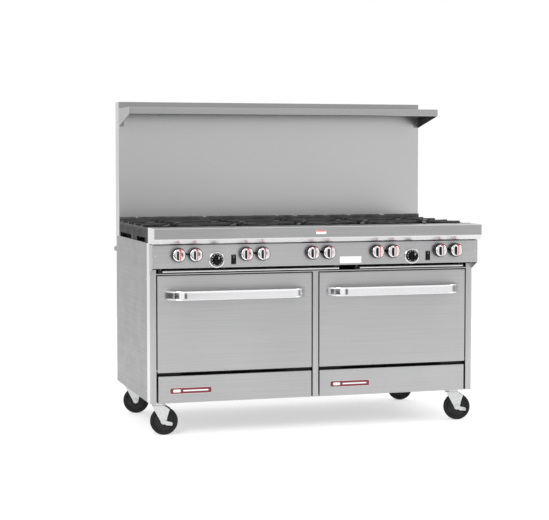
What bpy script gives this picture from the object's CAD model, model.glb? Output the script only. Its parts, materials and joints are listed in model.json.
"""Commercial gas range: finishes, fine shapes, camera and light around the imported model."""
import json
import math

import bmesh
import bpy
from mathutils import Matrix, Vector


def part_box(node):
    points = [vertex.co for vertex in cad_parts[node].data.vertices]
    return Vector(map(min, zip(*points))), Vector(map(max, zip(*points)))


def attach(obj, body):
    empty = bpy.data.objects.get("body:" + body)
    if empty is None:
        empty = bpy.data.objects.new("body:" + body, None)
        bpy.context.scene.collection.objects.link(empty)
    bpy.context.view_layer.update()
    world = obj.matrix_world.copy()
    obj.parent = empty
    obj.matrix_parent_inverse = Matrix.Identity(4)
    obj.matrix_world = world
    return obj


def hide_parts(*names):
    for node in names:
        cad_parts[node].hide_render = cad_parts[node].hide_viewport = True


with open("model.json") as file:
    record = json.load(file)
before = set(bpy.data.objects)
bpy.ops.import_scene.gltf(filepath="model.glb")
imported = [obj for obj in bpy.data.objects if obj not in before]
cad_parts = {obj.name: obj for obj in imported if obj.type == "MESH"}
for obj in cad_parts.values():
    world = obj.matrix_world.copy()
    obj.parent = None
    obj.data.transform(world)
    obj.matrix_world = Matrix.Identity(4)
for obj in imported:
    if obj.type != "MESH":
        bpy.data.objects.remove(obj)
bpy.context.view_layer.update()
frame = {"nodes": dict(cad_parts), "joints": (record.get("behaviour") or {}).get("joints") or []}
nodes = frame["nodes"]
joints = {j["name"]: j for j in frame["joints"]}

MM = 0.001
TAU = 2 * math.pi
CREASE = math.radians(30)
SAME_POINT = 0.001 * MM
SIDES = ("left", "right")
CORNERS = ("front_left", "front_right", "rear_left", "rear_right")


# ------------------------------------------------------------------ places read from the frame

ledge_lo, ledge_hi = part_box("front_ledge")
panel_lo, panel_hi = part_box("control_panel")
skin_lo, skin_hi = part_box("right_door_skin")
stile_lo, stile_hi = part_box("front_frame")
riser_lo, riser_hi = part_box("flue_riser")
shelf_lo, shelf_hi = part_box("high_shelf")

KNOB_AT = [Vector(joints[f"knob_{i}_turn"]["pos_m"]) for i in range(1, 11)]
PANEL_Y = panel_lo[1]


# ------------------------------------------------------------------ material helpers

def material(name):
    """A new node material, its tree and its principled shader."""
    mat = bpy.data.materials.new(name)
    mat.use_nodes = True
    return mat, mat.node_tree, mat.node_tree.nodes["Principled BSDF"]


def noise(tree, stretch, detail=2.0, roughness=0.5):
    """Noise over the object's own coordinates; stretch is its density along X, Y and Z."""
    coords = tree.nodes.new("ShaderNodeTexCoord")
    mapping = tree.nodes.new("ShaderNodeMapping")
    texture = tree.nodes.new("ShaderNodeTexNoise")
    mapping.inputs["Scale"].default_value = stretch
    texture.inputs["Scale"].default_value = 1.0
    texture.inputs["Detail"].default_value = detail
    texture.inputs["Roughness"].default_value = roughness
    tree.links.new(coords.outputs["Object"], mapping.inputs["Vector"])
    tree.links.new(mapping.outputs["Vector"], texture.inputs["Vector"])
    return texture.outputs["Fac"]


def remap(tree, value, low, high, start=0.3, end=0.7):
    """value from start..end taken to low..high."""
    node = tree.nodes.new("ShaderNodeMapRange")
    node.inputs["From Min"].default_value = start
    node.inputs["From Max"].default_value = end
    node.inputs["To Min"].default_value = low
    node.inputs["To Max"].default_value = high
    tree.links.new(value, node.inputs["Value"])
    return node.outputs["Result"]


def combine(tree, operation, a, b):
    """A math node over two sockets or numbers."""
    node = tree.nodes.new("ShaderNodeMath")
    node.operation = operation
    for socket, value in zip(node.inputs, (a, b)):
        if isinstance(value, (int, float)):
            socket.default_value = value
        else:
            tree.links.new(value, socket)
    return node.outputs["Value"]


def blend_colours(tree, factor, first, second):
    """A mix of two colours, each an (r, g, b) or a socket."""
    node = tree.nodes.new("ShaderNodeMix")
    node.data_type = "RGBA"
    tree.links.new(factor, node.inputs["Factor"])
    for name, value in (("A", first), ("B", second)):
        socket = next(s for s in node.inputs if s.name == name and s.type == "RGBA")
        if isinstance(value, tuple):
            socket.default_value = (*value, 1.0)
        else:
            tree.links.new(value, socket)
    return next(s for s in node.outputs if s.type == "RGBA")


def bump(tree, shader, height, strength, distance):
    """Adds a bump of that height in metres to the shader."""
    node = tree.nodes.new("ShaderNodeBump")
    node.inputs["Strength"].default_value = strength
    node.inputs["Distance"].default_value = distance
    tree.links.new(height, node.inputs["Height"])
    tree.links.new(node.outputs["Normal"], shader.inputs["Normal"])


def place_along(tree, axis):
    """The object's own coordinate along an axis, in metres."""
    coords = tree.nodes.new("ShaderNodeTexCoord")
    split = tree.nodes.new("ShaderNodeSeparateXYZ")
    tree.links.new(coords.outputs["Object"], split.inputs["Vector"])
    return split.outputs[axis]


def along(axis, coarse, fine):
    """A stretch that draws lines along one axis."""
    return tuple(coarse if i == "XYZ".index(axis) else fine for i in range(3))


def evenly(scale):
    """A stretch that is the same along every axis."""
    return scale, scale, scale


def grey(tone):
    """The very slightly blue grey of bare steel."""
    return tone, tone, tone + 0.005


# ------------------------------------------------------------------ materials

def brush_reflections(tree, shader, axis, amount):
    """Reflections stay sharp along the grain and smear across it."""
    grain = tree.nodes.new("ShaderNodeVectorTransform")
    grain.vector_type = "VECTOR"
    grain.convert_from = "OBJECT"
    grain.convert_to = "WORLD"
    grain.inputs["Vector"].default_value = along(axis, 1.0, 0.0)
    tree.links.new(grain.outputs["Vector"], shader.inputs["Tangent"])
    shader.inputs["Anisotropic"].default_value = amount
    shader.inputs["Anisotropic Rotation"].default_value = 0.25


def brushed(name, axis, dark, light, smooth=0.26, rough=0.38, stretch=0.5, relief=0.12):
    """Brushed stainless sheet with its grain along one axis and faint handling marks."""
    mat, tree, shader = material(name)
    brush_reflections(tree, shader, axis, stretch)
    lines = noise(tree, along(axis, 3.0, 420.0), detail=3.0)
    cloud = noise(tree, evenly(2.2), detail=1.0)
    smudge = noise(tree, evenly(9.0), detail=4.0, roughness=0.6)
    fine_share = combine(tree, "MULTIPLY", lines, 0.6)
    broad_share = combine(tree, "MULTIPLY", cloud, 0.4)
    mixed = combine(tree, "ADD", fine_share, broad_share)
    colour = blend_colours(tree, remap(tree, mixed, 0.0, 1.0), grey(dark), grey(light))
    tree.links.new(colour, shader.inputs["Base Color"])
    marks = remap(tree, smudge, 0.0, (rough - smooth) / 2)
    wear = combine(tree, "ADD", remap(tree, lines, smooth, rough), marks)
    tree.links.new(wear, shader.inputs["Roughness"])
    shader.inputs["Metallic"].default_value = 1.0
    if relief:
        bump(tree, shader, lines, relief, 0.2 * MM)
    return mat


def smooth_sheet(name, dark, light):
    """Sheet too finely polished for its grain to show as relief."""
    return brushed(name, "X", dark, light, smooth=0.24, rough=0.26, stretch=0.0, relief=0.0)


def tint(mat, share, tone):
    """Takes a finish towards another tone where the share, made in its tree, is 1."""
    tree = mat.node_tree
    base = tree.nodes["Principled BSDF"].inputs["Base Color"]
    face = base.links[0].from_socket
    tree.links.new(blend_colours(tree, share(tree), face, tone), base)
    return mat


def off_the_sides(tree, outer):
    """1 except on the faces at the outer width."""
    from_middle = combine(tree, "ABSOLUTE", place_along(tree, "X"), 0.0)
    return remap(tree, from_middle, 1.0, 0.0, outer - 1.0 * MM, outer - 0.4 * MM)


def frame_steel(name):
    """Stile steel: shaded inside the door gaps and bright on its outer returns."""
    front, outer = stile_lo[1], stile_hi[0]

    def in_the_gap(tree):
        return remap(tree, place_along(tree, "Y"), 0.0, 1.0, front + 4 * MM, front + 12 * MM)

    def outer_return(tree):
        return combine(tree, "SUBTRACT", 1.0, off_the_sides(tree, outer))

    mat = brushed(name, "Z", 0.38, 0.48)
    tint(mat, in_the_gap, SOOT)
    return tint(mat, outer_return, grey(0.7))


def bracket_steel(name):
    """Bracket steel, shaded on the inner faces under the shelf."""

    def inner_face(tree):
        split = tree.nodes.new("ShaderNodeSeparateXYZ")
        geometry = tree.nodes.new("ShaderNodeNewGeometry")
        tree.links.new(geometry.outputs["Normal"], split.inputs["Vector"])
        sideways = combine(tree, "ABSOLUTE", split.outputs["X"], 0.0)
        return combine(tree, "MULTIPLY", sideways, off_the_sides(tree, shelf_hi[0]))

    return tint(brushed(name, "Y", 0.28, 0.36), inner_face, SOOT)


def riser_steel(name):
    """Smooth riser sheet, duller in front where it stands above the shelf."""
    front, above = riser_lo[1], shelf_hi[2]

    def dull_strip(tree):
        high = remap(tree, place_along(tree, "Z"), 0.0, 1.0, above, above + 2 * MM)
        near = remap(tree, place_along(tree, "Y"), 1.0, 0.0, front + 5 * MM, front + 10 * MM)
        return combine(tree, "MULTIPLY", high, near)

    return tint(smooth_sheet(name, 0.485, 0.50), dull_strip, grey(0.32))


def polished(name, tone, rough=0.07):
    """Chrome or bright plating with faint wiping marks."""
    mat, tree, shader = material(name)
    marks = noise(tree, evenly(60.0), detail=4.0, roughness=0.65)
    shader.inputs["Metallic"].default_value = 1.0
    colour = blend_colours(tree, marks, tuple(0.93 * c for c in tone), tone)
    tree.links.new(colour, shader.inputs["Base Color"])
    tree.links.new(remap(tree, marks, rough, rough + 0.09), shader.inputs["Roughness"])
    bump(tree, shader, marks, 0.04, 0.2 * MM)
    return mat


def plated(name, tone):
    """Zinc plate with the soft patches of its crystals."""
    mat, tree, shader = material(name)
    patches = noise(tree, evenly(140.0), detail=2.0)
    fine = noise(tree, evenly(900.0), detail=2.0)
    shader.inputs["Metallic"].default_value = 1.0
    colour = blend_colours(tree, remap(tree, patches, 0.0, 1.0), tuple(0.8 * c for c in tone), tone)
    tree.links.new(colour, shader.inputs["Base Color"])
    tree.links.new(remap(tree, patches, 0.24, 0.42), shader.inputs["Roughness"])
    bump(tree, shader, fine, 0.15, 0.2 * MM)
    return mat


def cast_iron(name):
    """Seasoned cast iron: sooty below, greyer towards the top, with spots rubbed bright by pans."""
    mat, tree, shader = material(name)
    sand = noise(tree, evenly(520.0), detail=4.0, roughness=0.6)
    patch = noise(tree, evenly(24.0), detail=3.0)
    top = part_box("grate_1")[1][2]
    level = place_along(tree, "Z")
    high = remap(tree, level, 0.0, 1.0, top - 34 * MM, top)
    sooty = remap(tree, patch, 0.0, 1.0)
    soot = blend_colours(tree, sooty, (0.006, 0.006, 0.007), (0.016, 0.016, 0.016))
    worn = combine(tree, "MULTIPLY", high, remap(tree, patch, 0.3, 1.0))
    grey_iron = blend_colours(tree, worn, soot, (0.09, 0.09, 0.093))
    on_top = remap(tree, level, 0.0, 1.0, top - 5 * MM, top - 1 * MM)
    rubbed = combine(tree, "MULTIPLY", on_top, remap(tree, patch, 0.0, 1.0, 0.6, 0.66))
    tree.links.new(blend_colours(tree, rubbed, grey_iron, grey(0.5)), shader.inputs["Base Color"])
    tree.links.new(remap(tree, patch, 0.38, 0.55), shader.inputs["Roughness"])
    tree.links.new(remap(tree, high, 0.08, 0.5, 0.0, 1.0), shader.inputs["Specular IOR Level"])
    bump(tree, shader, sand, 0.35, 0.6 * MM)
    return mat


def rubber(name, tone, rough):
    """Rubber or dull plastic with a fine scuffed skin."""
    mat, tree, shader = material(name)
    shader.inputs["Specular IOR Level"].default_value = 0.15
    skin = noise(tree, evenly(700.0), detail=3.0)
    dust = noise(tree, evenly(30.0), detail=3.0)
    colour = blend_colours(tree, remap(tree, dust, 0.0, 1.0), (tone, tone, tone), (1.9 * tone,) * 3)
    tree.links.new(colour, shader.inputs["Base Color"])
    tree.links.new(remap(tree, dust, rough - 0.08, rough + 0.08), shader.inputs["Roughness"])
    bump(tree, shader, skin, 0.2, 0.3 * MM)
    return mat


def enamel(name, tone, fleck, rough=0.18):
    """Fired enamel, with pale flecks and a slight ripple."""
    mat, tree, shader = material(name)
    flecks = noise(tree, evenly(420.0), detail=1.0)
    ripple = noise(tree, evenly(35.0), detail=2.0)
    colour = blend_colours(tree, remap(tree, flecks, 0.0, 1.0, 0.66, 0.7), tone, fleck)
    tree.links.new(colour, shader.inputs["Base Color"])
    tree.links.new(remap(tree, ripple, rough, rough + 0.1), shader.inputs["Roughness"])
    bump(tree, shader, ripple, 0.1, 0.6 * MM)
    return mat


def paint(name, tone, rough=0.3):
    """Printed or painted surface with a faint orange-peel."""
    mat, tree, shader = material(name)
    peel = noise(tree, evenly(260.0), detail=2.0)
    fade = noise(tree, evenly(14.0), detail=2.0)
    colour = blend_colours(tree, remap(tree, fade, 0.0, 1.0), tuple(0.88 * c for c in tone), tone)
    tree.links.new(colour, shader.inputs["Base Color"])
    tree.links.new(remap(tree, peel, rough, rough + 0.08), shader.inputs["Roughness"])
    bump(tree, shader, peel, 0.08, 0.3 * MM)
    return mat


def wool(name):
    """Pale mineral wool."""
    mat, tree, shader = material(name)
    fibre = noise(tree, (60.0, 900.0, 500.0), detail=4.0, roughness=0.7)
    colour = blend_colours(tree, remap(tree, fibre, 0.0, 1.0), (0.30, 0.28, 0.22), (0.52, 0.49, 0.41))
    tree.links.new(colour, shader.inputs["Base Color"])
    shader.inputs["Roughness"].default_value = 0.95
    bump(tree, shader, fibre, 0.8, 3 * MM)
    return mat


def light_table(name):
    """Pale studio floor, lit a little from below so that shadows stay soft."""
    mat, tree, shader = material(name)
    mottle = noise(tree, evenly(1.5), detail=2.0)
    colour = blend_colours(tree, mottle, (0.66, 0.66, 0.66), (0.70, 0.70, 0.70))
    tree.links.new(colour, shader.inputs["Base Color"])
    shader.inputs["Roughness"].default_value = 0.9
    shader.inputs["Specular IOR Level"].default_value = 0.1
    shader.inputs["Emission Color"].default_value = (1.0, 1.0, 1.0, 1.0)
    shader.inputs["Emission Strength"].default_value = 0.45
    return mat


SOOT = (0.02, 0.02, 0.02)
STEEL_X = brushed("stainless_grain_x", "X", 0.37, 0.46)
STEEL_Z = brushed("stainless_grain_z", "Z", 0.40, 0.50)
STEEL_Y = brushed("stainless_grain_y", "Y", 0.17, 0.22)
FRAME = frame_steel("frame_steel")
LEDGE = brushed("ledge_grain", "X", 0.31, 0.39)
RISER = riser_steel("riser_steel")
BRACKET = bracket_steel("bracket_steel")
SHELF = smooth_sheet("shelf_sheet", 0.365, 0.385)
BRIGHT = brushed("polished_fold", "X", 0.62, 0.70, smooth=0.22, rough=0.3, stretch=0.0, relief=0.01)
SHEET = brushed("inner_sheet", "X", 0.26, 0.38, smooth=0.4, rough=0.55, stretch=0.0)
CHROME = polished("chrome", (0.78, 0.78, 0.79))
SMOKED = polished("smoked_chrome", (0.03, 0.03, 0.032), 0.1)
BRASS = polished("brass", (0.62, 0.43, 0.17), 0.2)
ZINC = plated("zinc", (0.62, 0.625, 0.63))
IRON = cast_iron("cast_iron")
TREAD = rubber("wheel_rubber", 0.010, 0.62)
HUB = rubber("wheel_hub", 0.014, 0.45)
BLACK = rubber("black_plastic", 0.003, 0.3)
ENAMEL = enamel("oven_enamel", (0.018, 0.02, 0.026), (0.2, 0.21, 0.23))
MAROON = enamel("badge_enamel", (0.16, 0.012, 0.022), (0.22, 0.03, 0.04), 0.12)
RED = paint("pointer_red", (0.62, 0.02, 0.025))
WHITE = paint("label_white", (0.85, 0.85, 0.84), 0.4)
WOOL = wool("mineral_wool")


# ------------------------------------------------------------------ shape helpers

def facing_front(x, y, z):
    """Local Z points at someone standing in front, local Y points up."""
    return Matrix.Translation((x, y, z)) @ Matrix.Rotation(math.radians(90), 4, "X")


def shifted(place, right, up):
    """A place moved by millimetres in its own plane."""
    return place @ Matrix.Translation((right * MM, up * MM, 0))


def in_mm(points):
    """Points written in millimetres, as metres."""
    return [(u * MM, v * MM) for u, v in points]


class Shape:
    """Solids gathered into one mesh; each names a material by its place in the list."""

    def __init__(self):
        self.mesh = bmesh.new()

    def _ring(self, points):
        return [self.mesh.verts.new(p) for p in points]

    def _face(self, verts, mat, smooth=True):
        face = self.mesh.faces.new(verts)
        face.material_index = mat
        face.smooth = smooth

    def loft(self, rings, mat=0, capped=True):
        """Skins closed rings of points; capped closes the two end rings."""
        made = [self._ring(r) for r in rings]
        count = len(made[0])
        for low, high in zip(made, made[1:]):
            for i in range(count):
                j = (i + 1) % count
                self._face((low[i], low[j], high[j], high[i]), mat)
        if capped:
            self._face(tuple(reversed(made[0])), mat, False)
            self._face(tuple(made[-1]), mat, False)

    def lathe(self, profile, place, mat=0, steps=48):
        """Turns (radius, height) points about local Z. A radius of zero closes that end."""
        rings = []
        for radius, height in profile:
            if radius == 0:
                rings.append([self.mesh.verts.new(place @ Vector((0, 0, height)))])
                continue
            turn = [TAU * k / steps for k in range(steps)]
            rings.append(self._ring(
                place @ Vector((radius * math.cos(a), radius * math.sin(a), height)) for a in turn))
        for low, high in zip(rings, rings[1:]):
            for k in range(steps):
                n = (k + 1) % steps
                if len(low) == 1:
                    self._face((low[0], high[n], high[k]), mat)
                elif len(high) == 1:
                    self._face((low[k], low[n], high[0]), mat)
                else:
                    self._face((low[k], low[n], high[n], high[k]), mat)

    def prism(self, outline, low, high, place, mat=0, taper=1.0):
        """A closed outline of (x, y) drawn out along local Z; taper scales the far end."""
        rings = [[place @ Vector((x, y, low)) for x, y in outline],
                 [place @ Vector((x * taper, y * taper, high)) for x, y in outline]]
        self.loft(rings, mat)

    def object(self, name, materials, body, replaces, bevel=0.0, segments=2):
        """Makes the object, rides it on its body and stands it for CAD nodes."""
        bmesh.ops.recalc_face_normals(self.mesh, faces=self.mesh.faces)
        data = bpy.data.meshes.new(name)
        self.mesh.to_mesh(data)
        self.mesh.free()
        for mat in materials:
            data.materials.append(mat)
        made = bpy.data.objects.new(name, data)
        bpy.context.scene.collection.objects.link(made)
        round_edges(made, bevel, segments)
        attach(made, body)
        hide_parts(*replaces)


def round_edges(made, width, segments=2):
    """Bevels the edges sharper than a crease and evens out the shading."""
    if width:
        edge = made.modifiers.new("edge", "BEVEL")
        edge.width = width
        edge.segments = segments
        edge.limit_method = "ANGLE"
        edge.angle_limit = CREASE
    even = made.modifiers.new("even", "WEIGHTED_NORMAL")
    even.keep_sharp = True


def quarter_turn(steps=5):
    """Angles from 0 to 90 degrees."""
    return [math.radians(90) * k / steps for k in range(steps + 1)]


def rounded(width, height, radius, steps=5):
    """Outline of a rectangle with rounded corners, about its centre."""
    points = []
    for corner, (sx, sy) in enumerate(((1, 1), (-1, 1), (-1, -1), (1, -1))):
        cx, cy = sx * (width / 2 - radius), sy * (height / 2 - radius)
        for turn in quarter_turn(steps):
            a = math.radians(90) * corner + turn
            points.append((cx + radius * math.cos(a), cy + radius * math.sin(a)))
    return points


def fillet(path, radius, steps=5):
    """An open line of (u, v) points with its inner corners rounded."""
    made = [path[0]]
    for before, corner, after in zip(path, path[1:], path[2:]):
        p, q, r = Vector(before), Vector(corner), Vector(after)
        reach = min(radius, (p - q).length * 0.45, (r - q).length * 0.45)
        start = q + (p - q).normalized() * reach
        end = q + (r - q).normalized() * reach
        for k in range(steps + 1):
            t = k / steps
            made.append(tuple((1 - t) ** 2 * start + 2 * t * (1 - t) * q + t ** 2 * end))
    made.append(path[-1])
    return made


def thicken(line, thickness):
    """The closed outline of a sheet whose outer side runs along the line."""
    points = [Vector(p) for p in line]
    inner = []
    for i, p in enumerate(points):
        a = points[max(i - 1, 0)]
        b = points[min(i + 1, len(points) - 1)]
        way = (b - a).normalized()
        inner.append(p + Vector((-way.y, way.x)) * thickness)
    return [tuple(p) for p in points] + [tuple(p) for p in reversed(inner)]


def folded(shape, line, thickness, x0, x1, mat=0):
    """A sheet folded along (y, z) points, running along X."""
    outline = thicken(line, thickness)
    shape.loft([[(x, y, z) for y, z in outline] for x in (x0, x1)], mat)


def end_plate(shape, outline, x, mat=0):
    """A plate of sheet across X, from x on, with an outline of (y, z) points."""
    shape.loft([[(x + depth, y, z) for y, z in outline] for depth in (0, SHEET_T)], mat)


# ------------------------------------------------------------------ sheet metal

SHEET_T = 2 * MM
FOLD_R = 4 * MM
# A face slopes when its normal points at least this much along both Y and Z.
SLOPE = 0.3


def front_ledge():
    """Rolled ledge with welded end caps. The caps and its sloping fold are polished."""
    front, back = ledge_lo[1], ledge_hi[1]
    top, bottom = ledge_hi[2], ledge_lo[2]
    face_foot, fold_back, return_back = top - 49 * MM, front + 19 * MM, PANEL_Y + 30 * MM
    profile = [(back, bottom), (back, top), (front, top), (front, face_foot), (fold_back, bottom)]
    steel, bright = range(2)
    shape = Shape()
    line = fillet([*profile, (return_back, bottom)], FOLD_R)
    folded(shape, line, SHEET_T, ledge_lo[0] + SHEET_T, ledge_hi[0] - SHEET_T, steel)
    for face in shape.mesh.faces:
        face.normal_update()
        if min(abs(face.normal.y), abs(face.normal.z)) > SLOPE:
            face.material_index = bright
    for x in (ledge_lo[0], ledge_hi[0] - SHEET_T):
        end_plate(shape, fillet(profile, FOLD_R), x, bright)
    shape.object("ledge", [LEDGE, BRIGHT], "cabinet", ["front_ledge"], 0.5 * MM)


def control_panel():
    """Folded fascia with end gussets; its bottom edge is turned back under it."""
    front, back = PANEL_Y, panel_hi[1]
    top, foot = panel_hi[2], panel_lo[2]
    bottom = foot + 30 * MM
    upper_return, lower_return = front + 40 * MM, front + 54 * MM
    line = fillet([(upper_return, top), (front, top), (front, bottom), (lower_return, bottom)], FOLD_R)
    gusset = [(back, top), (front, top), (front, bottom), (back - 4 * MM, foot), (back, foot)]
    shape = Shape()
    folded(shape, line, SHEET_T, panel_lo[0] + SHEET_T, panel_hi[0] - SHEET_T)
    for x in (panel_lo[0], panel_hi[0] - SHEET_T):
        end_plate(shape, fillet(gusset, FOLD_R), x)
    shape.object("fascia", [STEEL_X], "cabinet", ["control_panel"], 0.5 * MM)


def kick_panels():
    """Two folded panels under the doors, with side and bottom returns."""
    lo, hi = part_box("kick_panels")
    front, back, bottom, top = lo[1], hi[1], lo[2], hi[2]
    line = fillet([(front + 16 * MM, top), (front, top), (front, bottom), (back, bottom)], 3 * MM)
    near, far = front + 3 * MM, front + 22 * MM
    side = [(near, bottom), (far, bottom), (far, top - 30 * MM), (near, top - 3 * MM)]
    inner, outer = skin_lo[0] + 2 * MM, skin_hi[0] - 4 * MM
    shape = Shape()
    for x0, x1 in ((inner, outer), (-outer, -inner)):
        folded(shape, line, SHEET_T, x0, x1)
        for x in (x0, x1 - SHEET_T):
            end_plate(shape, side, x)
    shape.object("kick_plates", [STEEL_X], "cabinet", ["kick_panels"], 0.4 * MM)


def flue_riser():
    """Tall box open at top and bottom, folded at the corners, with a hemmed top edge and two stays."""
    width, deep = riser_hi[0] - riser_lo[0], riser_hi[1] - riser_lo[1]
    half, middle = width / 2, (riser_lo[1] + riser_hi[1]) / 2
    low, high = riser_lo[2], riser_hi[2]
    outside = rounded(width, deep, FOLD_R)
    inside = rounded(width - 2 * SHEET_T, deep - 2 * SHEET_T, FOLD_R - SHEET_T)
    hem, lean = 1.2 * MM, 0.3 * MM
    levels = [(outside, low, 0), (outside, high - hem, 0), (outside, high - hem / 3, -lean),
              (inside, high, lean), (inside, high - hem, 0), (inside, low, 0)]
    rings = [[(x * (1 + wider / half), middle + y, z) for x, y in line] for line, z, wider in levels]
    shape = Shape()
    shape.loft([*rings, rings[0]], capped=False)
    bmesh.ops.remove_doubles(shape.mesh, verts=shape.mesh.verts, dist=SAME_POINT)
    front, back = riser_lo[1] + SHEET_T, riser_hi[1] - SHEET_T
    foot, head = high - 30 * MM, high - SHEET_T
    for x in (-half / 3, half / 3):
        end_plate(shape, [(front, foot), (back, foot), (back, head), (front, head)], x - SHEET_T / 2)
    shape.object("riser", [RISER], "cabinet", ["flue_riser"])


def high_shelf():
    """Shelf with a folded front lip turned under."""
    y0, y1 = shelf_lo[1], shelf_hi[1]
    bottom, top = shelf_lo[2], shelf_hi[2]
    line = fillet([(y1, top), (y0, top), (y0, bottom), (y0 + 12 * MM, bottom)], FOLD_R)
    shape = Shape()
    folded(shape, line, SHEET_T, shelf_lo[0], shelf_hi[0])
    shape.object("shelf", [SHELF], "cabinet", ["high_shelf"], 0.5 * MM)


def door_skin(side):
    """Shallow pressed pan, open at the back, with soft edges and corners."""
    lo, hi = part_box(f"{side}_door_skin")
    gauge, radius = 1.5 * MM, 3.5 * MM
    width, height, deep = hi[0] - lo[0], hi[2] - lo[2], hi[1] - lo[1]
    place = facing_front((lo[0] + hi[0]) / 2, lo[1], (lo[2] + hi[2]) / 2)

    def ring(inset, depth):
        outline = rounded(width - 2 * inset, height - 2 * inset, radius)
        return [place @ Vector((x, y, -depth)) for x, y in outline]

    rings = [ring(gauge, gauge), ring(gauge, deep), ring(0, deep)]
    rings += [ring(radius * (1 - math.cos(a)), radius * (1 - math.sin(a))) for a in quarter_turn()]
    shape = Shape()
    shape.loft(rings)
    shape.object(f"{side}_door_pan", [STEEL_X], f"{side}_door", [f"{side}_door_skin"])


def door_handle(side):
    """Broad polished strip with rolled edges, its ends swept back to the door."""
    lo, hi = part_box(f"{side}_door_handle")
    middle_x, middle_z = (lo[0] + hi[0]) / 2, (lo[2] + hi[2]) / 2
    half, reach, high = (hi[0] - lo[0]) / 2, hi[1] - lo[1], (hi[2] - lo[2]) / 2
    bend = 100 * MM
    run = half - math.sqrt(bend ** 2 - (bend - reach) ** 2)
    section = strip_section(high)

    def ring(end, share):
        points = []
        for depth, height in section:
            radius = bend - depth
            turn = share * math.acos((bend - reach) / radius)
            points.append((middle_x + end * (run + radius * math.sin(turn)),
                           lo[1] + bend - radius * math.cos(turn), middle_z + height))
        return points

    steps = 18
    rings = [ring(-1, k / steps) for k in range(steps, -1, -1)]
    rings += [ring(1, k / steps) for k in range(steps + 1)]
    shape = Shape()
    shape.loft(rings)
    shape.object(f"{side}_handle_bar", [CHROME], f"{side}_door", [f"{side}_door_handle"])


def strip_section(high):
    """Outline of the handle's strip as (depth behind its face, height), beaded along both edges."""
    gauge, bead, deep, hollow = 2 * MM, 3 * MM, 12 * MM, 1.3 * MM
    edge = [(deep, high)]
    edge += [(bead * (1 - math.sin(a)), high - bead * (1 - math.cos(a))) for a in quarter_turn()]
    edge += [(0.3 * MM, high - bead - 1.2 * MM), (hollow, high - bead - 2.2 * MM)]
    crown = [(0.9 * MM, high / 3)]
    outer = edge + crown + [(d, -h) for d, h in reversed(edge + crown)]
    back, inner_high = hollow + gauge, high - gauge
    return outer + [(deep, -inner_high), (back, -inner_high), (back, inner_high), (deep, inner_high)]


# ------------------------------------------------------------------ controls

def knob(index, at):
    """Knob with a dark glossy skirt, a bright face and grip, a black flank and a red pointer."""
    place = facing_front(at.x, PANEL_Y, at.z)
    bright, black, red, zinc, smoked = range(5)
    skirt = in_mm([(0, 2), (31, 2), (32, 3), (32, 5), (31.4, 7), (31.2, 20), (30.4, 23), (27.6, 25.4)])
    face = in_mm([(27.6, 25.4), (27.2, 26.8), (25.6, 28), (23, 28.8), (17, 29), (8, 28), (0, 27.6)])
    spindle = in_mm([(0, -36), (4, -36), (4, 2), (0, 2)])
    grip = rounded(12 * MM, 54 * MM, 5 * MM, 6)
    flank = rounded(5.4 * MM, 38 * MM, 2.4 * MM, 4)
    pointer = rounded(3.8 * MM, 46 * MM, 1.8 * MM, 4)
    pointer_head = rounded(8 * MM, 8 * MM, 3 * MM, 4)
    shape = Shape()
    shape.lathe(skirt, place, smoked, 64)
    shape.lathe(face, place, bright, 64)
    bmesh.ops.remove_doubles(shape.mesh, verts=shape.mesh.verts, dist=SAME_POINT)
    shape.prism(grip, 24 * MM, 43 * MM, place, bright, 0.86)
    shape.prism(flank, 26 * MM, 34 * MM, shifted(place, -7.4, -2), black)
    shape.prism(pointer, 30 * MM, 43.4 * MM, shifted(place, 2.4, -1), red)
    shape.prism(pointer_head, 26 * MM, 43.4 * MM, shifted(place, 1.6, 22.5), red)
    shape.lathe(spindle, place, zinc, 24)
    finishes = [CHROME, BLACK, RED, ZINC, SMOKED]
    shape.object(f"burner_knob_{index}", finishes, f"knob_{index}", [f"knob_{index}"], 1.0 * MM, 3)


def fluted(radius, depth, flutes, steps=108):
    """Outline of a round grip with shallow flutes."""
    points = []
    for k in range(steps):
        turn = TAU * k / steps
        reach = radius + depth * math.cos(flutes * turn)
        points.append((reach * math.cos(turn), reach * math.sin(turn)))
    return points


def thermostat(side):
    """Black oven dial: graduated skirt, fluted grip and a white pointer."""
    at = joints[f"{side}_thermostat_turn"]["pos_m"]
    place = facing_front(at[0], PANEL_Y, at[2])
    black, white, zinc = range(3)
    skirt = in_mm([(0, 3), (25.4, 3), (26, 3.8), (25.6, 6.5), (21, 9.5), (18.5, 11), (0, 11)])
    spindle = in_mm([(0, -28), (4, -28), (4, 3), (0, 3)])
    grip = fluted(16.4 * MM, 1.3 * MM, 9)
    bar = rounded(8 * MM, 32 * MM, 3 * MM)
    pointer = rounded(2 * MM, 11 * MM, 0.9 * MM)
    shape = Shape()
    shape.lathe(skirt, place, black, 64)
    shape.prism(grip, 9 * MM, 33 * MM, place, black, 0.9)
    shape.prism(bar, 31 * MM, 40 * MM, place, black, 0.9)
    shape.prism(pointer, 39 * MM, 40.3 * MM, shifted(place, 0, 10), white)
    graduations(shape, place, 11, math.radians(300), white)
    shape.lathe(spindle, place, zinc, 24)
    shape.object(f"{side}_oven_dial", [BLACK, WHITE, ZINC], f"{side}_thermostat_dial",
                 [f"{side}_thermostat_dial"], 0.5 * MM)


def graduations(shape, place, count, sweep, mat):
    """Plain marks on the sloping skirt of a dial, spread over its sweep."""
    mark = rounded(1.5 * MM, 4.5 * MM, 0.5 * MM, 3)
    on_skirt = Matrix.Translation((0, 22.6 * MM, 7.6 * MM))
    along_slope = Matrix.Rotation(math.radians(-32), 4, "X")
    for k in range(count):
        turn = sweep * (k / (count - 1) - 0.5)
        shape.prism(mark, 0, 1.2 * MM, place @ Matrix.Rotation(turn, 4, "Z") @ on_skirt @ along_slope, mat)


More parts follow.
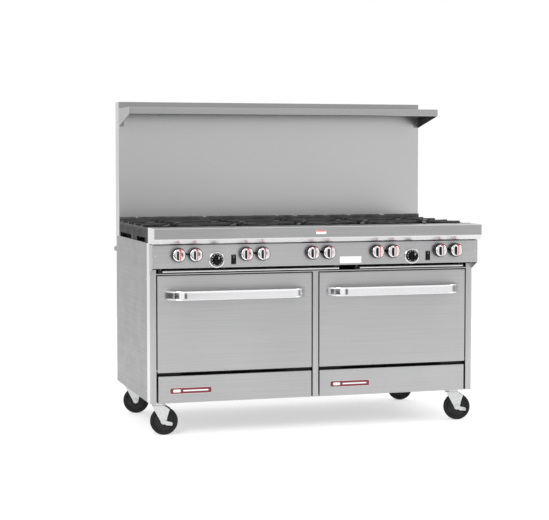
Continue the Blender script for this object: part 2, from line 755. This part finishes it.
def rocker(side):
    """Two-slope rocker with a pale tick at one end."""
    lo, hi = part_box(f"{side}_oven_switch")
    half = (hi[0] - lo[0]) / 2
    upright, tipped = math.radians(90), math.radians(7)
    turned = Matrix.Rotation(upright + tipped, 4, "X")
    place = Matrix.Translation(joints[f"{side}_switch_rock"]["pos_m"]) @ turned
    outline = in_mm([(-19, -5), (19, -5), (19, 5), (9.5, 3.9), (0, 3.2), (-9.5, 3.9), (-19, 5)])
    black, white = range(2)
    shape = Shape()
    shape.loft([[place @ Vector((x, y, z)) for y, z in outline] for x in (-half, half)], black)
    tick = place @ Matrix.Translation((0, 11.78 * MM, 4.1 * MM))
    shape.prism(rounded(1.2 * MM, 6 * MM, 0.5 * MM, 3), -0.6 * MM, 0.35 * MM, tick, white)
    node = f"{side}_oven_switch"
    shape.object(f"{side}_rocker", [BLACK, WHITE], node, [node], 0.5 * MM)


def bezel(shape, side, mat):
    """Rolled ring around a thermostat dial, with two locating pegs."""
    at = joints[f"{side}_thermostat_turn"]["pos_m"]
    place = facing_front(at[0], PANEL_Y, at[2])
    ring = in_mm([(13, 0), (36, 0), (36, 1.4), (35.2, 3.2), (33.5, 4.6), (31.5, 5), (29.6, 4.4),
                  (28.3, 2.9), (27.4, 2), (13, 2), (13, 0)])
    peg = in_mm([(0, 5.6), (1.6, 5.3), (2.2, 4), (0, 4)])
    shape.lathe(ring, place, mat, 72)
    for turn in (25, 205):
        spoke = place @ Matrix.Rotation(math.radians(turn), 4, "Z")
        shape.lathe(peg, shifted(spoke, 32, 0), mat, 16)


def switch_housing(shape, side, mat):
    """Flanged frame that clips the rocker into the fascia."""
    at = joints[f"{side}_switch_rock"]["pos_m"]
    place = facing_front(at[0], PANEL_Y, at[2])
    draft = 0.93
    flange, mouth = rounded(22.5 * MM, 43.5 * MM, 2 * MM), rounded(19 * MM, 40 * MM, 1 * MM)
    levels = [(flange, 1, 0), (flange, 1, 1.4), (mouth, 1, 1.4), (mouth, draft, -20), (flange, draft, -21)]
    rings = [[place @ Vector((x * share, y * share, height * MM)) for x, y in outline]
             for outline, share, height in levels]
    shape.loft(rings, mat, capped=False)


def pilot_plug(shape, middle, mat):
    """Small black plug between two knobs, over the pilot's adjusting screw."""
    place = facing_front(middle.x, PANEL_Y, middle.z + 3 * MM)
    profile = in_mm([(0, 0), (5.3, 0), (5.3, 5), (4.6, 6.6), (2.8, 7), (2.4, 5.5), (0, 5.5)])
    shape.lathe(profile, place, mat, 24)
    shape.prism(rounded(10.6 * MM, 5 * MM, 2 * MM), 1 * MM, 4 * MM, place, mat)


def plate(shape, place, width, height, thick, mat, corner=2 * MM):
    """Thin plate with round corners, about its centre."""
    shape.prism(rounded(width, height, corner), 0, thick, place, mat)


def badge(shape, left, steel, maroon):
    """Blank badge: a bright rim, a maroon field, and a bright stud and bar across it."""
    kick_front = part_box("kick_panels")[0][1]
    from_edge, above_floor = 145 * MM, 206 * MM
    place = facing_front(left + from_edge, kick_front, above_floor)
    plate(shape, place, 190 * MM, 28 * MM, 1.4 * MM, steel, 6 * MM)
    plate(shape, place, 188 * MM, 25.5 * MM, 1.9 * MM, maroon, 5 * MM)
    plate(shape, shifted(place, 22, 0), 116 * MM, 6.5 * MM, 2.4 * MM, steel, 3 * MM)
    plate(shape, shifted(place, -64, 0), 34 * MM, 13 * MM, 2.4 * MM, steel, 5 * MM)


def labels(shape, white, red):
    """Blank plate on the fascia, and a smaller one with a plain red stripe on the ledge."""
    thick = 0.7 * MM
    dial_z = joints["left_thermostat_turn"]["pos_m"][2]
    on_fascia = facing_front(145.5 * MM, PANEL_Y, dial_z - 12 * MM)
    plate(shape, on_fascia, 103 * MM, 30 * MM, thick, white)
    on_ledge = facing_front(-9 * MM, ledge_lo[1], ledge_hi[2] - 25 * MM)
    plate(shape, on_ledge, 47 * MM, 17 * MM, thick, white)
    plate(shape, shifted(on_ledge, 0, 5), 45.5 * MM, 5.6 * MM, 0.78 * MM, red, 1 * MM)


def trim():
    """Bezels, switch housings, pilot plugs, blank labels and blank badges."""
    shape = Shape()
    steel, black, white, maroon, red = range(5)
    for side in SIDES:
        bezel(shape, side, steel)
        switch_housing(shape, side, black)
    for first, second in zip(KNOB_AT[::2], KNOB_AT[1::2]):
        pilot_plug(shape, (first + second) / 2, black)
    labels(shape, white, red)
    for left in (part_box("kick_panels")[0][0], skin_lo[0] + 2 * MM):
        badge(shape, left, steel, maroon)
    shape.object("front_trim", [CHROME, BLACK, WHITE, MAROON, RED], "cabinet", ["trim_plates"], 0.3 * MM)


# ------------------------------------------------------------------ casters

def mirrored(outline):
    """A closed (radius, height) outline, from the side below zero and its mirror image."""
    return [*outline, *((r, -h) for r, h in reversed(outline)), outline[0]]


def caster_wheel(corner):
    """Rubber tyre on a dark hub with a recessed web and a ring of ribs."""
    joint = joints[f"{corner}_wheel_spin"]
    axis = Vector(joint["axis"]).normalized()
    place = Matrix.Translation(joint["pos_m"]) @ axis.to_track_quat("Z", "Y").to_matrix().to_4x4()
    lo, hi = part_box(f"{corner}_caster_wheel")
    radius = (hi[2] - lo[2]) / 2 / MM
    tyre = [(44, -11), (47, -15), (radius - 7, -16), (radius - 3, -14), (radius - 0.7, -10), (radius, -5)]
    hub = [(6.05, -17.5), (13, -17.5), (14.5, -16), (15.5, -12), (37, -11), (40, -13.8), (43, -13.8),
           (44.2, -10.8)]
    rib = in_mm([(15, -1.3), (38, -1.3), (38, 1.3), (15, 1.3)])
    rubber_slot, hub_slot = range(2)
    shape = Shape()
    shape.lathe(in_mm(mirrored(tyre)), place, rubber_slot, 80)
    shape.lathe(in_mm(mirrored(hub)), place, hub_slot, 64)
    ribs = 8
    for k in range(ribs):
        turned = place @ Matrix.Rotation(TAU * k / ribs, 4, "Z")
        for low, high in ((-13.5 * MM, -10.5 * MM), (10.5 * MM, 13.5 * MM)):
            shape.prism(rib, low, high, turned, hub_slot)
    shape.object(f"{corner}_tyre", [TREAD, HUB], f"{corner}_wheel", [f"{corner}_caster_wheel"])


# ------------------------------------------------------------------ CAD nodes that keep their shape

def dress(node, mat, bevel=0.0, segments=2):
    """Gives a CAD node its finish and softens its edges."""
    made = nodes[node]
    made.data.materials.clear()
    made.data.materials.append(mat)
    weld = made.modifiers.new("weld", "WELD")
    weld.merge_threshold = 0.01 * MM
    if bevel:
        flat = made.modifiers.new("flat", "DECIMATE")
        flat.decimate_type = "DISSOLVE"
        flat.angle_limit = math.radians(1)
    round_edges(made, bevel, segments)


def dress_all():
    """Every CAD node that still shows."""
    for side in SIDES:
        dress(f"{side}_side_panel", STEEL_Y, 0.6 * MM)
    dress("front_frame", FRAME, 0.5 * MM)
    dress("shelf_brackets", BRACKET, 0.5 * MM)
    dress("rear_panel", STEEL_Z, 0.4 * MM)
    for node in ("chassis_base", "burner_box"):
        dress(node, SHEET, 0.5 * MM)
    dress("gas_manifold", SHEET, 0.6 * MM)
    dress("burner_valves", BRASS, 0.4 * MM)
    dress("open_burners", IRON, 1.0 * MM)
    for node in ("oven_liners", "oven_bottoms", "left_door_liner", "right_door_liner"):
        dress(node, ENAMEL, 0.5 * MM)
    dress("oven_insulation", WOOL, 2.0 * MM)
    for side in SIDES:
        dress(f"{side}_oven_rack", CHROME)
        dress(f"{side}_crumb_drawer", BRIGHT, 0.4 * MM)
    for k in range(1, 6):
        dress(f"grate_{k}", IRON, 1.6 * MM, 3)
    dress("caster_plates", ZINC, 0.6 * MM)
    dress("fasteners", ZINC, 0.3 * MM)
    for corner in CORNERS:
        dress(f"{corner}_caster_fork", ZINC, 0.8 * MM)
    for corner in CORNERS[:2]:
        dress(f"{corner}_brake_pedal", ZINC, 0.6 * MM)


# ------------------------------------------------------------------ studio

# The brightness of the room's pale panels and dark gaps, by bearing in degrees from straight in front.
ROOM = ((-180, 1.00), (-125, 0.95), (-112, 0.05), (-62, 0.05), (-58, 0.75), (-54, 0.05), (-31, 0.05),
        (-28, 1.05), (-4, 1.05), (-1, 0.10), (10, 0.10), (14, 0.95), (66, 0.95), (74, 0.30), (180, 0.80))


def room_walls(tree, across, depth):
    """The tone of the walls in the direction looked along."""
    bearing = combine(tree, "ARCTAN2", across, combine(tree, "MULTIPLY", depth, -1.0))
    walls = tree.nodes.new("ShaderNodeValToRGB")
    tree.links.new(remap(tree, bearing, 0.0, 1.0, -math.pi, math.pi), walls.inputs["Fac"])
    stops = walls.color_ramp.elements
    for k, (angle, tone) in enumerate(ROOM):
        stop = stops[k] if k < 2 else stops.new(1.0)
        stop.position = (angle + 180) / 360
        stop.color = (tone, tone, tone, 1)
    return walls.outputs["Color"]


def lit_world():
    """White behind the object. What it reflects is the room, under a bright ceiling."""
    world = bpy.data.worlds.new("studio")
    bpy.context.scene.world = world
    world.use_nodes = True
    tree = world.node_tree
    coords = tree.nodes.new("ShaderNodeTexCoord")
    split = tree.nodes.new("ShaderNodeSeparateXYZ")
    tree.links.new(coords.outputs["Generated"], split.inputs["Vector"])
    walls = room_walls(tree, split.outputs["X"], split.outputs["Y"])
    wall_top, ceiling_from = -0.045, -0.02
    ceiling_share = remap(tree, split.outputs["Z"], 0.0, 1.0, wall_top, ceiling_from)
    room = blend_colours(tree, ceiling_share, walls, evenly(0.95))
    lit = tree.nodes["Background"]
    tree.links.new(room, lit.inputs["Color"])
    lit.inputs["Strength"].default_value = 1.1
    white = tree.nodes.new("ShaderNodeBackground")
    white.inputs["Color"].default_value = (1.0, 1.0, 1.0, 1.0)
    path = tree.nodes.new("ShaderNodeLightPath")
    pick = tree.nodes.new("ShaderNodeMixShader")
    tree.links.new(path.outputs["Is Camera Ray"], pick.inputs["Fac"])
    tree.links.new(lit.outputs["Background"], pick.inputs[1])
    tree.links.new(white.outputs["Background"], pick.inputs[2])
    tree.links.new(pick.outputs["Shader"], tree.nodes["World Output"].inputs["Surface"])


def soft_light(name, place, power):
    """A broad disk light aimed at the middle of the range."""
    light = bpy.data.lights.new(name, "AREA")
    light.shape = "DISK"
    light.size = 2.4
    light.energy = power
    made = bpy.data.objects.new(name, light)
    bpy.context.scene.collection.objects.link(made)
    made.location = place
    middle = Vector((0, 0, 0.7))
    made.rotation_euler = (middle - made.location).to_track_quat("-Z", "Y").to_euler()


def floor():
    """Pale round floor."""
    bpy.ops.mesh.primitive_circle_add(vertices=96, radius=4.6, fill_type="NGON", location=(0, 0, 0))
    made = bpy.context.object
    made.name = "floor"
    made.data.materials.append(light_table("light_table"))


def place_camera():
    """The photograph's view: a long lens from the front left, a little above the cooking height."""
    lens = bpy.data.cameras.new("camera")
    camera = bpy.data.objects.new("camera", lens)
    bpy.context.scene.collection.objects.link(camera)
    bpy.context.scene.camera = camera
    camera.location = (-2.190, -7.002, 1.250)
    bearing, pitch = 0.2902, 0.0504
    level = math.cos(pitch)
    way = Vector((math.sin(bearing) * level, math.cos(bearing) * level, -math.sin(pitch)))
    camera.rotation_euler = way.to_track_quat("-Z", "Y").to_euler()
    lens.lens = 101.49
    lens.shift_x = 0.0057
    lens.shift_y = -0.05
    lens.clip_end = 60
    bpy.context.scene.view_settings.view_transform = "Standard"
    bpy.context.scene.view_settings.look = "None"


front_ledge()
control_panel()
kick_panels()
flue_riser()
high_shelf()
for side in SIDES:
    door_skin(side)
    door_handle(side)
    thermostat(side)
    rocker(side)
for index, at in enumerate(KNOB_AT, 1):
    knob(index, at)
trim()
for corner in CORNERS:
    caster_wheel(corner)
dress_all()
floor()
lit_world()
soft_light("key", (-3.2, -4.2, 3.6), 140)
soft_light("fill", (4.6, -1.6, 3.4), 60)
place_camera()
